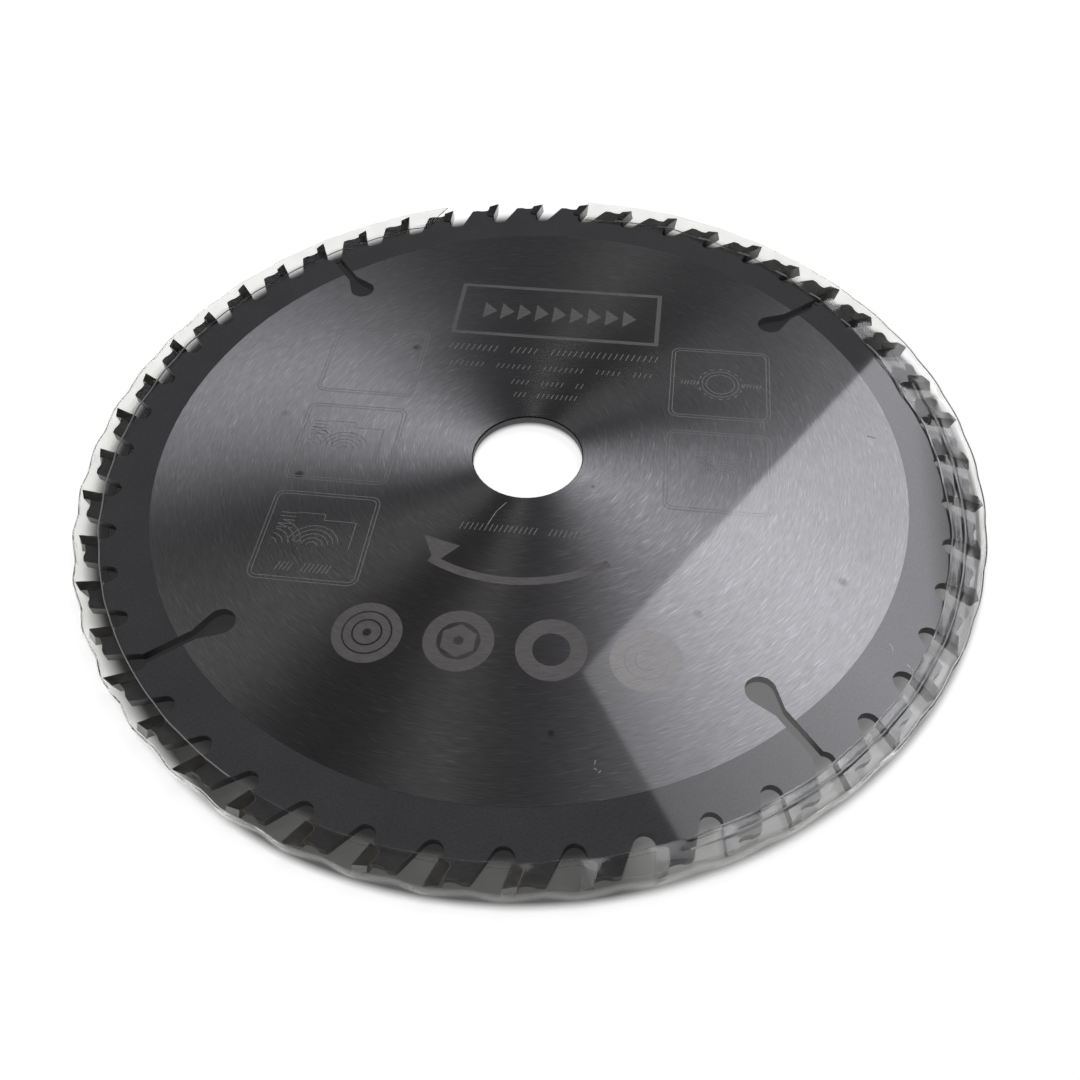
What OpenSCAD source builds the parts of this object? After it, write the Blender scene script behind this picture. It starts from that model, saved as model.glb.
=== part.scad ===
// Carbide tipped circular saw blade with its clear clip-on tooth guard.
// The origin is the centre of the bore, halfway through the plate. +Z is the bore's axis and
// points out of the marked side. Seen from that side the blade turns clockwise.

/* [Blade] */
// Diameter over the cutting edges
blade_d = 160; // [150:5:210]
// Thickness of the steel plate at its rim
plate_t = 1.6; // [1.2:0.1:2.2]
// Diameter of the bore
bore_d = 20; // [12:1:30]
// Chamfer round both ends of the bore
bore_chamfer = 0.2; // [0.1:0.05:0.4]
// Number of teeth
teeth = 48; // [40:4:56]
// Turn of the first cutting edge from +X, in degrees
first_tooth_a = 3.95; // [0:0.05:7.5]
// Width of the matt ring between the gullet floors and the ground centre disc
matt_ring_w = 5.6; // [3:0.2:8]
// How far the ground centre disc stands above the matt ring on each side
disc_step = 0.03; // [0.02:0.01:0.06]

/* [Carbide tips] */
// Length of a tip along its cutting face
tip_l = 4.6; // [4:0.1:5.6]
// Thickness of a tip, from its face to its back
tip_t = 1.8; // [1.4:0.1:2.2]
// How far a tip stands out past the plate on each side
tip_side_set = 0.4; // [0.3:0.05:0.6]
// Chamfer on the inner back corner of a tip
tip_chamfer = 0.35; // [0.2:0.05:0.5]
// Hook angle of the cutting face
hook_a = 18; // [8:1:22]
// Clearance angle of the top of a tip
top_clear_a = 15; // [8:1:18]
// Bevel of the cutting edge, to alternate sides
bevel_a = 15; // [5:1:20]
// Side clearance of a tip towards the centre of the blade
side_clear_in_a = 1.5; // [0.5:0.5:2]
// Side clearance of a tip towards its back
side_clear_back_a = 3; // [1:0.5:4]
// Thickness of the braze between a tip and its seat
braze_t = 0.1; // [0.06:0.02:0.2]
// How far a tip's face stands out of the gullet wall
face_stand = 0.15; // [0.1:0.05:0.3]

/* [Gullets and tooth backs] */
// Radius of a gullet's floor
gullet_r = 1.65; // [1.4:0.05:2]
// Straight wall between a tip's seat and the gullet's floor
seat_land = 0.25; // [0.2:0.05:0.5]
// Lean of a gullet's far wall from the radial line
gullet_back_a = 33; // [28:1:38]
// Depth of the steel shoulders below the tip circle
shoulder_drop = 1.45; // [1.2:0.05:2]
// Radius of the dip ground behind each tip
dip_r = 3; // [2.6:0.1:4]
// Depth of that dip below the shoulder
dip_depth = 0.45; // [0.2:0.05:0.6]
// Distance from a cutting edge back to the dip's lowest point
dip_back = 3.6; // [3.2:0.1:4]
// Radius that rounds the shoulder into the gullet
shoulder_r = 0.5; // [0.3:0.05:0.8]

/* [Expansion slots] */
// Number of slots
slots = 4; // [2,4]
// Tooth in whose gullet the first slot starts
slot_tooth = 5; // [1:1:10]
// Depth from a gullet's centre to the middle of the keyhole
slot_l = 14; // [10:0.2:20]
// Width of a slot
slot_w = 1.9; // [1:0.1:2.4]
// Lean of a slot from the radial line
slot_lean_a = 2.5; // [0:0.5:6]
// Diameter of the keyhole at the end of a slot
keyhole_d = 4.9; // [4:0.1:8]
// Length over which a slot flares into its keyhole
slot_flare_l = 4.5; // [4.2:0.1:6]

/* [Tooth guard] */
// Wall of the clear strip
guard_wall = 0.5; // [0.4:0.05:0.8]
// Clearance between the strip's lips and the sides of the tips
guard_side_gap = 0.05; // [0.05:0.05:0.3]
// Clearance between the strip's web and the cutting edges
guard_rim_gap = 0.15; // [0.1:0.05:0.4]
// How far the lips reach in past the cutting edges
guard_lip_l = 5.2; // [4:0.2:6]
// How far the round of the lips' inner edge is off the blade's centre
guard_shift = 1.4; // [0.2:0.2:2]
// Direction of that offset from +X, in degrees
guard_shift_a = 215; // [180:5:270]
// Turn from +X to the strip's left end, in degrees
guard_end_a = 106; // [95:1:120]
// Gap between the strip's two ends, in degrees
guard_gap_a = 27; // [15:1:60]

/* [Hidden] */
function two_digits(n) = n < 10 ? str("0", n) : str(n);
$fn = 96;

tip_r = blade_d / 2;
tip_w = plate_t + 2 * tip_side_set;
pitch_a = 360 / teeth;
rim_r = tip_r - shoulder_drop;
seat_back = tip_t + braze_t;
seat_foot = tip_l + braze_t;
// Growth of a 45 degree chamfer's legs as the braze is added round the tip
chamfer_grow = braze_t * (sqrt(2) - 1);
// How far a round bites past the straight edge that runs into it, so that the two cross
round_bite = 0.005;

// Gullet floor's centre and the slope of the far wall, on axes along the cutting face
wall_a = gullet_back_a - hook_a;
floor_x = gullet_r - face_stand - round_bite;
floor_y = -(seat_foot + seat_land);
wall_foot = [floor_x, floor_y] + (gullet_r - round_bite) * [cos(wall_a), -sin(wall_a)];
wall_l = (tip_t - wall_foot[1]) / cos(wall_a);

// The same centre and wall on radial axes, and the radius of the gullet floors
floor_at = face_to_radial([floor_x, floor_y]);
wall_at = face_to_radial(wall_foot);
gullet_floor_r = tip_r + floor_at[1] - gullet_r;
disc_r = gullet_floor_r - matt_ring_w;
disc_t = plate_t + 2 * disc_step;

// Centre of the round between a gullet's far wall and the shoulder
round_foot = wall_at + shoulder_r * [cos(gullet_back_a), -sin(gullet_back_a)] + [0, tip_r];
wall_dir = [sin(gullet_back_a), cos(gullet_back_a)];
round_along = -round_foot * wall_dir
    + sqrt(pow(round_foot * wall_dir, 2) - round_foot * round_foot + pow(rim_r - shoulder_r, 2));
round_at = round_foot + round_along * wall_dir;

// Guard sizes
guard_in_r = tip_r + guard_rim_gap;
guard_out_r = guard_in_r + guard_wall;
guard_lip_r = tip_r - guard_lip_l;
guard_in_h = tip_w + 2 * guard_side_gap;
guard_out_h = guard_in_h + 2 * guard_wall;

// Turns a point on axes along the cutting face to radial axes
function face_to_radial(p) =
    [p[0] * cos(hook_a) + p[1] * sin(hook_a), -p[0] * sin(hook_a) + p[1] * cos(hook_a)];

// Turn of a tooth from +X
function tooth_a(k) = first_tooth_a + pitch_a * (k - 1);

// Puts a shape at the cutting edge of tooth k: +Y points out and +X points the way it cuts
module at_tooth(k) {
    rotate([0, 0, tooth_a(k) - 90])
        translate([0, tip_r, 0])
            children();
}

// Turns a shape at a tooth onto its cutting face: +Y runs up the face and -X into the tip
module on_face() {
    rotate([0, 0, -hook_a])
        children();
}

// Outline of a carbide blank, before its top and sides are ground
module tip_outline() {
    polygon([
        [0, 0],
        [0, -tip_l],
        [tip_chamfer - tip_t, -tip_l],
        [-tip_t, tip_chamfer - tip_l],
        [-tip_t, 0]
    ]);
}

// Notch that a tip and its braze fill
module seat_outline() {
    polygon([
        [-face_stand, 0],
        [-face_stand, -seat_foot],
        [tip_chamfer - tip_t - chamfer_grow, -seat_foot],
        [-seat_back, tip_chamfer - tip_l - chamfer_grow],
        [-seat_back, 0]
    ]);
}

// Round gullet floor with its two straight walls
module gullet_outline() {
    translate([floor_x, floor_y])
        circle(r = gullet_r);
    polygon([
        [-face_stand, floor_y],
        [-face_stand, tip_t],
        wall_foot + wall_l * [sin(wall_a), cos(wall_a)],
        wall_foot
    ]);
}

// Dip ground into the steel behind a tip
module dip_outline() {
    translate([-dip_back, dip_r - shoulder_drop - dip_depth])
        circle(r = dip_r);
}

// Sharp corner between the shoulder and the gullet, which the round takes off
module shoulder_corner_outline() {
    to_wall = [-cos(gullet_back_a), sin(gullet_back_a)];
    to_rim = round_at / norm(round_at);
    to_corner = (to_wall + to_rim) / (1 + to_wall * to_rim);
    translate([0, -tip_r])
        translate(round_at)
            difference() {
                polygon([[0, 0], shoulder_r * to_wall, 2 * shoulder_r * to_corner, shoulder_r * to_rim]);
                circle(r = shoulder_r + round_bite);
            }
}

// Toothed outline of the steel plate
module rim_outline() {
    difference() {
        circle(r = rim_r);
        for (k = [1 : teeth])
            at_tooth(k) {
                on_face() {
                    gullet_outline();
                    seat_outline();
                }
                dip_outline();
                shoulder_corner_outline();
            }
    }
}

// Expansion slot with its flare and keyhole, drawn from the gullet's centre inwards
module slot_outline() {
    flare_corner = [slot_w / 2, slot_flare_l];
    touch_r = keyhole_d / 2 - round_bite;
    touch_a = atan2(flare_corner[1], flare_corner[0]) - acos(touch_r / norm(flare_corner));
    touch = touch_r * [cos(touch_a), sin(touch_a)];
    translate(floor_at)
        rotate(-slot_lean_a)
            translate([0, -slot_l]) {
                circle(d = keyhole_d);
                polygon([
                    touch,
                    flare_corner,
                    [slot_w / 2, slot_l],
                    [-slot_w / 2, slot_l],
                    [-flare_corner[0], flare_corner[1]],
                    [-touch[0], touch[1]]
                ]);
            }
}

module blade_plate() {
    color("darkgray")
        difference() {
            union() {
                linear_extrude(plate_t, center = true)
                    rim_outline();
                cylinder(r = disc_r, h = disc_t, center = true);
            }
            cylinder(d = bore_d, h = 2 * disc_t, center = true);
            bore_chamfers();
            for (i = [0 : slots - 1])
                at_tooth(slot_tooth + i * teeth / slots)
                    linear_extrude(2 * disc_t, center = true)
                        slot_outline();
        }
}

module bore_chamfers() {
    for (side = [0, 1])
        mirror([0, 0, side])
            translate([0, 0, disc_t / 2 - bore_chamfer])
                cylinder(r1 = bore_d / 2, r2 = bore_d / 2 + 2 * bore_chamfer, h = 2 * bore_chamfer);
}

// One ground tip: its top is bevelled down to one side of the blade, and that side alternates round the rim
module tip(k) {
    high_side = k % 2 == 1 ? 1 : -1;
    color("dimgray")
        at_tooth(k)
            on_face()
                difference() {
                    linear_extrude(tip_w, center = true)
                        tip_outline();
                    translate([0, 0, high_side * tip_w / 2])
                        rotate([-high_side * bevel_a, 0, hook_a + top_clear_a])
                            translate([-tip_l, 0, -tip_l])
                                cube([2 * tip_l, tip_l, 2 * tip_l]);
                    for (side = [0, 1])
                        mirror([0, 0, side])
                            translate([0, 0, tip_w / 2])
                                rotate([side_clear_in_a, -side_clear_back_a, 0])
                                    translate([-2 * tip_l, -2 * tip_l, 0])
                                        cube([4 * tip_l, 4 * tip_l, tip_l]);
                }
}

// Film of braze between each tip and its seat, as thick as the plate
module braze_joints() {
    color("goldenrod")
        for (k = [1 : teeth])
            at_tooth(k)
                linear_extrude(plate_t, center = true)
                    difference() {
                        intersection() {
                            on_face()
                                difference() {
                                    seat_outline();
                                    tip_outline();
                                }
                            translate([0, -tip_r])
                                circle(r = rim_r);
                        }
                        dip_outline();
                    }
}

// Clear strip of channel section clipped round the tips, open between its two ends
module tooth_guard() {
    color([0.9, 0.9, 0.85, 0.35])
        difference() {
            rotate([0, 0, guard_end_a])
                rotate_extrude(angle = 360 - guard_gap_a)
                    difference() {
                        translate([guard_lip_r - guard_shift, -guard_out_h / 2])
                            square([guard_out_r - guard_lip_r + guard_shift, guard_out_h]);
                        translate([guard_lip_r - 2 * guard_shift, -guard_in_h / 2])
                            square([guard_in_r - guard_lip_r + 2 * guard_shift, guard_in_h]);
                    }
            rotate([0, 0, guard_shift_a])
                translate([guard_shift, 0, 0])
                    cylinder(r = guard_lip_r, h = 2 * guard_out_h, center = true);
        }
}

blade_plate();
braze_joints();
tooth_guard();
for (k = [1 : teeth])
    tip(k);
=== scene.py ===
import math

import bmesh
import bpy
from mathutils import Matrix, Vector, noise


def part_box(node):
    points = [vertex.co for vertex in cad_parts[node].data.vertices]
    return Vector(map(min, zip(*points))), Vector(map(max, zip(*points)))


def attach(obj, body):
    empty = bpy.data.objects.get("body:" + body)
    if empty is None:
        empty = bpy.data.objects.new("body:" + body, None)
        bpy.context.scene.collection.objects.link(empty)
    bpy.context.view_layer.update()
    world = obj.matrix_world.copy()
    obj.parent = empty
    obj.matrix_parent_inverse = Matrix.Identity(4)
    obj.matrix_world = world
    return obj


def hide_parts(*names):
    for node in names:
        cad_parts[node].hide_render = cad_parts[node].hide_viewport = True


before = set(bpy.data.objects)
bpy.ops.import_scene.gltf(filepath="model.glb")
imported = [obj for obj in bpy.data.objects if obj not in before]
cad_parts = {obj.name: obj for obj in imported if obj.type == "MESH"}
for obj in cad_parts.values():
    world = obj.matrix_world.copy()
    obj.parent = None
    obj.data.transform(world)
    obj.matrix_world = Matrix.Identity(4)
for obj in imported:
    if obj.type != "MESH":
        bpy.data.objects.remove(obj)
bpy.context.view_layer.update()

bl_info = {
    "name": "Circular Saw Blade Dressing",
    "version": (1, 0, 0),
    "blender": (4, 5, 0),
    "location": "3D View > Sidebar > Saw Blade",
    "description": "Ground steel, etched marks, brazed tips and clear tooth guard of a circular saw blade",
    "category": "Mesh",
}

MM = 0.001

blade_high = Vector(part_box("blade_plate")[1])
guard_low, guard_high = (Vector(corner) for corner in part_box("tooth_guard"))
DISC_TOP = blade_high.z
GUARD_TOP = guard_high.z
GUARD_RADIUS = guard_high.x

# The ground disc stands a hair above the ring, so a height between the two tells their faces apart.
DISC_FACE_Z = DISC_TOP - 0.015 * MM
RING_FACE_Z = DISC_TOP - 0.045 * MM

# The soft strip sits this much closer to the tips than the CAD's plain channel.
GUARD_HUG = 0.3 * MM

# The strip hugs the tips and slackens between them. In degrees: one tip's corner, the pitch, how far on
# from a tip the slack is deepest, and where round the rim the strip is loosest.
TIP_ANGLE = 3.95
TIP_COUNT = 48
TIP_PITCH = 360 / TIP_COUNT
SLACK_AT = 4.5
LOOSEST_AT = 210.0

# The strip's crease runs at this share of the way from the outer wall to the lip's free edge.
CREASE_SHARE = 0.63
CREASE_HALF_WIDTH = 0.0182

# The upper lip is first drawn in to this radius, and then pulled out to its measured edge.
LIP_DRAWN_TO = 72.5 * MM

# Marks sit on the disc, in rows that are turned this much from the X axis.
PRINT_TURN = math.radians(-8.5)

# Angle in degrees from +X, and radius in mm, of the upper lip's free edge.
LIP_EDGE = [
    (79, 73.4), (102, 75.0), (110, 74.9), (130, 75.3), (150, 75.8), (300, 75.7), (325, 75.5), (340, 74.6),
    (355, 73.7), (365, 73.5), (370, 72.9), (385, 73.5), (395, 74.1), (410, 75.0), (425, 75.2), (439, 73.9),
]

# Soft dark spots on the disc: x, y and radius in mm, and how dark.
SPOTS = [
    (-22.0, 30.8, 1.1, 0.45), (-41.4, -2.9, 1.2, 0.55), (51.2, -30.4, 1.2, 0.5), (26.8, -35.8, 1.1, 0.3),
    (2.6, -56.2, 0.8, 0.45), (-46.0, 13.0, 1.3, 0.18), (11.5, -8.0, 0.5, 0.35),
]

# Short bright scratches: x and y of both ends in mm, not turned.
SCRATCHES = [
    (55.9, -42.4, 56.1, -43.1), (56.1, -43.0, 56.1, -43.8), (57.7, -46.3, 58.3, -47.3),
    (-3.9, -11.1, -5.6, -13.0), (-5.6, -13.0, -7.3, -16.2), (8.9, -60.7, 8.7, -61.4),
    (8.6, -61.9, 9.0, -62.3), (9.2, -62.7, 9.6, -62.4), (-30.6, 28.6, -28.4, 31.6),
]


# The values that a maker can set.


class BladeFinish(bpy.types.PropertyGroup):
    steel_colour: bpy.props.FloatVectorProperty(
        name="Steel Colour", description="Colour of the ground steel", subtype="COLOR", size=3,
        default=(0.44, 0.44, 0.448), min=0.0, max=1.0)
    ring_colour: bpy.props.FloatVectorProperty(
        name="Ring Colour", description="Colour of the matt ring between disc and teeth",
        subtype="COLOR", size=3, default=(0.172, 0.172, 0.174), min=0.0, max=1.0)
    carbide_colour: bpy.props.FloatVectorProperty(
        name="Carbide Colour", description="Colour of the ground carbide tips", subtype="COLOR", size=3,
        default=(0.115, 0.112, 0.107), min=0.0, max=1.0)
    braze_colour: bpy.props.FloatVectorProperty(
        name="Braze Colour", description="Colour of the braze behind each tip", subtype="COLOR", size=3,
        default=(0.55, 0.47, 0.32), min=0.0, max=1.0)
    streak_width: bpy.props.FloatProperty(
        name="Streak Width", description="Width of one grinding streak", subtype="DISTANCE", unit="LENGTH",
        default=0.13 * MM, min=0.02 * MM, max=1.0 * MM)
    streak_length: bpy.props.FloatProperty(
        name="Streak Length", description="Length of one grinding streak", subtype="DISTANCE", unit="LENGTH",
        default=2.4 * MM, min=0.2 * MM, max=20.0 * MM)


class EtchedMarks(bpy.types.PropertyGroup):
    mark_colour: bpy.props.FloatVectorProperty(
        name="Mark Colour", description="Colour of the etched marks", subtype="COLOR", size=3,
        default=(0.39, 0.376, 0.358), min=0.0, max=1.0)
    faint_colour: bpy.props.FloatVectorProperty(
        name="Faint Colour", description="Colour of the thin lines and small strokes",
        subtype="COLOR", size=3, default=(0.62, 0.61, 0.59), min=0.0, max=1.0)
    scratch_colour: bpy.props.FloatVectorProperty(
        name="Scratch Colour", description="Colour of the short bright scratches", subtype="COLOR", size=3,
        default=(0.95, 0.95, 0.96), min=0.0, max=1.0)
    stand: bpy.props.FloatProperty(
        name="Stand", description="Height of the marks above the disc", subtype="DISTANCE", unit="LENGTH",
        default=0.01 * MM, min=0.002 * MM, max=0.05 * MM)
    thin_line: bpy.props.FloatProperty(
        name="Thin Line", description="Width of the thin lines", subtype="DISTANCE", unit="LENGTH",
        default=0.14 * MM, min=0.05 * MM, max=1.0 * MM)
    frame_line: bpy.props.FloatProperty(
        name="Frame Line", description="Width of the wide frame's line", subtype="DISTANCE", unit="LENGTH",
        default=0.9 * MM, min=0.2 * MM, max=2.0 * MM)


class ToothGuard(bpy.types.PropertyGroup):
    plastic_colour: bpy.props.FloatVectorProperty(
        name="Plastic Colour", description="Tint of the clear plastic", subtype="COLOR", size=3,
        default=(0.96, 0.96, 0.945), min=0.0, max=1.0)
    wall: bpy.props.FloatProperty(
        name="Wall", description="Thickness of the plastic", subtype="DISTANCE", unit="LENGTH",
        default=0.26 * MM, min=0.2 * MM, max=1.0 * MM)
    slack: bpy.props.FloatProperty(
        name="Slack", description="How far the outer wall draws in between two tips", subtype="DISTANCE",
        unit="LENGTH", default=0.65 * MM, min=0.0, max=1.0 * MM)
    sag: bpy.props.FloatProperty(
        name="Sag", description="How far the upper lip sinks between two teeth",
        subtype="DISTANCE", unit="LENGTH", default=0.28 * MM, min=0.0, max=0.4 * MM)
    start_angle: bpy.props.FloatProperty(
        name="Start Angle", description="Where the strip begins, from the X axis",
        subtype="ANGLE", unit="ROTATION", default=math.radians(104),
        min=math.radians(90), max=math.radians(120))
    end_angle: bpy.props.FloatProperty(
        name="End Angle", description="Where the strip ends after its way round",
        subtype="ANGLE", unit="ROTATION", default=math.radians(439),
        min=math.radians(420), max=math.radians(446))
    lower_lip: bpy.props.FloatProperty(
        name="Lower Lip", description="Radius of the lower lip's free edge",
        subtype="DISTANCE", unit="LENGTH", default=75.4 * MM, min=70 * MM, max=79 * MM)


class BladeStage(bpy.types.PropertyGroup):
    floor_colour: bpy.props.FloatVectorProperty(
        name="Floor Colour", description="Colour of the pale floor", subtype="COLOR", size=3,
        default=(0.8, 0.8, 0.8), min=0.0, max=1.0)
    room_level: bpy.props.FloatProperty(
        name="Room Level", description="Brightness of the room that the steel reflects",
        default=0.034, min=0.0, max=1.0)
    window_level: bpy.props.FloatProperty(
        name="Window Level", description="Brightness of the soft window panel",
        default=5.0, min=0.0, max=20.0)
    side_level: bpy.props.FloatProperty(
        name="Side Level", description="Brightness of the weak panel at the far left",
        default=0.95, min=0.0, max=20.0)
    ceiling_level: bpy.props.FloatProperty(
        name="Ceiling Level", description="Brightness of the small panel overhead",
        default=3.2, min=0.0, max=20.0)


# Small helpers that build material nodes.


def new_finish(name):
    """A material with an empty node tree apart from its output and shader."""
    finish = bpy.data.materials.new(name)
    finish.use_nodes = True
    tree = finish.node_tree
    tree.nodes.clear()
    output = tree.nodes.new("ShaderNodeOutputMaterial")
    shader = tree.nodes.new("ShaderNodeBsdfPrincipled")
    tree.links.new(shader.outputs["BSDF"], output.inputs["Surface"])
    return finish, tree, shader


def feed(tree, socket, value):
    """Links a socket to another one, or sets its value."""
    if isinstance(value, bpy.types.NodeSocket):
        tree.links.new(value, socket)
    else:
        socket.default_value = value


def calc(tree, operation, first, second=None, third=None, clamp=False):
    made = tree.nodes.new("ShaderNodeMath")
    made.operation = operation
    made.use_clamp = clamp
    for place, value in enumerate((first, second, third)):
        if value is not None:
            feed(tree, made.inputs[place], value)
    return made.outputs[0]


def combine(tree, x, y, z):
    made = tree.nodes.new("ShaderNodeCombineXYZ")
    for place, value in enumerate((x, y, z)):
        feed(tree, made.inputs[place], value)
    return made.outputs[0]


def spread(tree, value, from_low, from_high, to_low, to_high, smooth=False):
    made = tree.nodes.new("ShaderNodeMapRange")
    made.interpolation_type = "SMOOTHSTEP" if smooth else "LINEAR"
    for place, part in enumerate((value, from_low, from_high, to_low, to_high)):
        feed(tree, made.inputs[place], part)
    return made.outputs[0]


def blend_colour(tree, factor, first, second, mode="MIX"):
    made = tree.nodes.new("ShaderNodeMix")
    made.data_type = "RGBA"
    made.blend_type = mode
    feed(tree, made.inputs["Factor"], factor)
    feed(tree, made.inputs["A"], first if isinstance(first, bpy.types.NodeSocket) else (*first, 1.0))
    feed(tree, made.inputs["B"], second if isinstance(second, bpy.types.NodeSocket) else (*second, 1.0))
    return made.outputs["Result"]


def grain(tree, vector, scale, detail=2.0, roughness=0.5):
    made = tree.nodes.new("ShaderNodeTexNoise")
    feed(tree, made.inputs["Vector"], vector)
    made.inputs["Scale"].default_value = scale
    made.inputs["Detail"].default_value = detail
    made.inputs["Roughness"].default_value = roughness
    return made.outputs["Fac"]


def bumped(tree, shader, height, distance, strength=1.0):
    made = tree.nodes.new("ShaderNodeBump")
    made.inputs["Distance"].default_value = distance
    made.inputs["Strength"].default_value = strength
    feed(tree, made.inputs["Height"], height)
    feed(tree, shader.inputs["Normal"], made.outputs["Normal"])


def lacquer(shader, roughness, weight=1.0):
    """A thin clear coat, which mirrors the window."""
    shader.inputs["Coat Weight"].default_value = weight
    shader.inputs["Coat Roughness"].default_value = roughness
    shader.inputs["Coat IOR"].default_value = 1.5


def shaded(colour, share, limit=math.inf):
    """A colour made darker or brighter by one share."""
    return tuple(min(limit, part * share) for part in colour)


def shade_over(tree, colour, shade):
    """Multiplies a colour by one grey level."""
    return blend_colour(tree, 1.0, colour, combine(tree, shade, shade, shade), "MULTIPLY")


def position(tree):
    return tree.nodes.new("ShaderNodeTexCoord").outputs["Object"]


def position_parts(tree):
    split = tree.nodes.new("ShaderNodeSeparateXYZ")
    feed(tree, split.inputs[0], position(tree))
    return split.outputs


def polar(tree, centre_x=0.0, centre_y=0.0):
    """Radius, and the cosine and sine of the angle, round an upright axis."""
    spot = position_parts(tree)
    x = calc(tree, "SUBTRACT", spot[0], centre_x)
    y = calc(tree, "SUBTRACT", spot[1], centre_y)
    radius = calc(tree, "SQRT", calc(tree, "ADD", calc(tree, "MULTIPLY", x, x), calc(tree, "MULTIPLY", y, y)))
    radius = calc(tree, "MAXIMUM", radius, 0.0001)
    return radius, calc(tree, "DIVIDE", x, radius), calc(tree, "DIVIDE", y, radius)


def ground_streaks(tree, centre, width, length, detail=1.5):
    """Noise drawn out along circles round a centre, as a grinding wheel leaves it."""
    radius, _, _ = polar(tree, *centre)
    spot = position_parts(tree)
    place = combine(tree, calc(tree, "DIVIDE", spot[0], length),
                    calc(tree, "DIVIDE", spot[1], length), calc(tree, "DIVIDE", radius, width))
    return grain(tree, place, 1.0, detail, 0.6)


def spot_shade(tree, x, y, radius, dark):
    """One soft dark spot: 1 away from it, and less inside it."""
    distance, _, _ = polar(tree, x, y)
    return spread(tree, distance, radius * 0.25, radius, 1.0 - dark, 1.0, smooth=True)


# The finishes: ground and cut steel, carbide, braze, etched marks and clear plastic.


def make_ground_steel(settings):
    """Circular ground steel: long thin streaks along the circles, crossed by two sets off the centre."""
    finish, tree, shader = new_finish("ground_steel")
    width, length = settings.streak_width, settings.streak_length
    fine = ground_streaks(tree, (0.0, 0.0), width, length)
    cross = ground_streaks(tree, (0.006, 0.004), width * 1.5, length * 1.5)
    wide = ground_streaks(tree, (-0.005, 0.005), width * 1.7, length * 1.7)
    body = spread(tree, fine, 0.3, 0.7, 0.0, 0.42)
    scratches = spread(tree, calc(tree, "MAXIMUM", cross, wide), 0.62, 0.75, 0.0, 0.58)
    level = calc(tree, "ADD", body, scratches)
    clouds = grain(tree, position(tree), 60.0, 3.0)
    steel = tuple(settings.steel_colour)
    dark = shaded(steel, 0.84)
    bright = shaded(steel, 1.55, 1.0)
    colour = blend_colour(tree, level, dark, bright)
    shade = spread(tree, clouds, 0.3, 0.7, 0.94, 1.04)
    for x, y, radius, depth in SPOTS:
        shade = calc(tree, "MULTIPLY", shade, spot_shade(tree, x * MM, y * MM, radius * MM, depth))
    colour = shade_over(tree, colour, shade)
    feed(tree, shader.inputs["Base Color"], colour)
    shader.inputs["Metallic"].default_value = 1.0
    feed(tree, shader.inputs["Roughness"], spread(tree, level, 0.0, 0.8, 0.48, 0.42))
    shader.inputs["Anisotropic"].default_value = 1.0
    tangent = tree.nodes.new("ShaderNodeTangent")
    tangent.direction_type = "RADIAL"
    tangent.axis = "Z"
    radius, _, _ = polar(tree)
    swirl = tree.nodes.new("ShaderNodeVectorRotate")
    swirl.rotation_type = "Z_AXIS"
    feed(tree, swirl.inputs["Vector"], tangent.outputs[0])
    feed(tree, swirl.inputs["Angle"], spread(tree, radius, 11 * MM, 42 * MM, math.radians(-10), 0.0))
    feed(tree, shader.inputs["Tangent"], swirl.outputs[0])
    shader.inputs["Anisotropic Rotation"].default_value = 0.25
    lacquer(shader, 0.04)
    bumped(tree, shader, level, 0.003 * MM, 0.2)
    return finish


def make_matt_ring(settings):
    """The matt ring and its fine even grain, under the same clear lacquer."""
    finish, tree, shader = new_finish("matt_ring_steel")
    fine = grain(tree, position(tree), 3500.0, 2.0)
    patches = grain(tree, position(tree), 120.0, 3.0)
    ring = tuple(settings.ring_colour)
    colour = blend_colour(tree, spread(tree, fine, 0.3, 0.7, 0.0, 1.0), shaded(ring, 0.86),
                          shaded(ring, 1.14))
    shade = spread(tree, patches, 0.3, 0.7, 0.94, 1.06)
    colour = shade_over(tree, colour, shade)
    feed(tree, shader.inputs["Base Color"], colour)
    feed(tree, shader.inputs["Roughness"], spread(tree, patches, 0.3, 0.7, 0.62, 0.72))
    shader.inputs["Specular IOR Level"].default_value = 0.2
    lacquer(shader, 0.04)
    bumped(tree, shader, fine, 0.01 * MM, 0.3)
    return finish


def make_cut_steel(settings):
    """The laser cut walls of the bore, slots and gullets: fine lines from face to face, and painted shade
    that darkens them near the bore and towards the rim.
    """
    finish, tree, shader = new_finish("cut_steel")
    spot = position_parts(tree)
    place = combine(tree, spot[0], spot[1], calc(tree, "MULTIPLY", spot[2], 0.12))
    lines = grain(tree, place, 9000.0, 2.0)
    steel = tuple(settings.steel_colour)
    colour = blend_colour(tree, spread(tree, lines, 0.3, 0.7, 0.0, 1.0), steel,
                          shaded(steel, 1.5))
    radius, _, _ = polar(tree)
    # Painted shade: the walls are darkened close to the bore and again towards the rim.
    painted_wall_shade = calc(tree, "MULTIPLY", spread(tree, radius, 10.6 * MM, 14.0 * MM, 0.15, 1.0),
                 spread(tree, radius, 70.0 * MM, 73.0 * MM, 1.0, 0.35))
    colour = shade_over(tree, colour, painted_wall_shade)
    feed(tree, shader.inputs["Base Color"], colour)
    shader.inputs["Metallic"].default_value = 1.0
    feed(tree, shader.inputs["Roughness"], spread(tree, lines, 0.3, 0.7, 0.38, 0.55))
    bumped(tree, shader, lines, 0.01 * MM, 0.4)
    return finish


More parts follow.
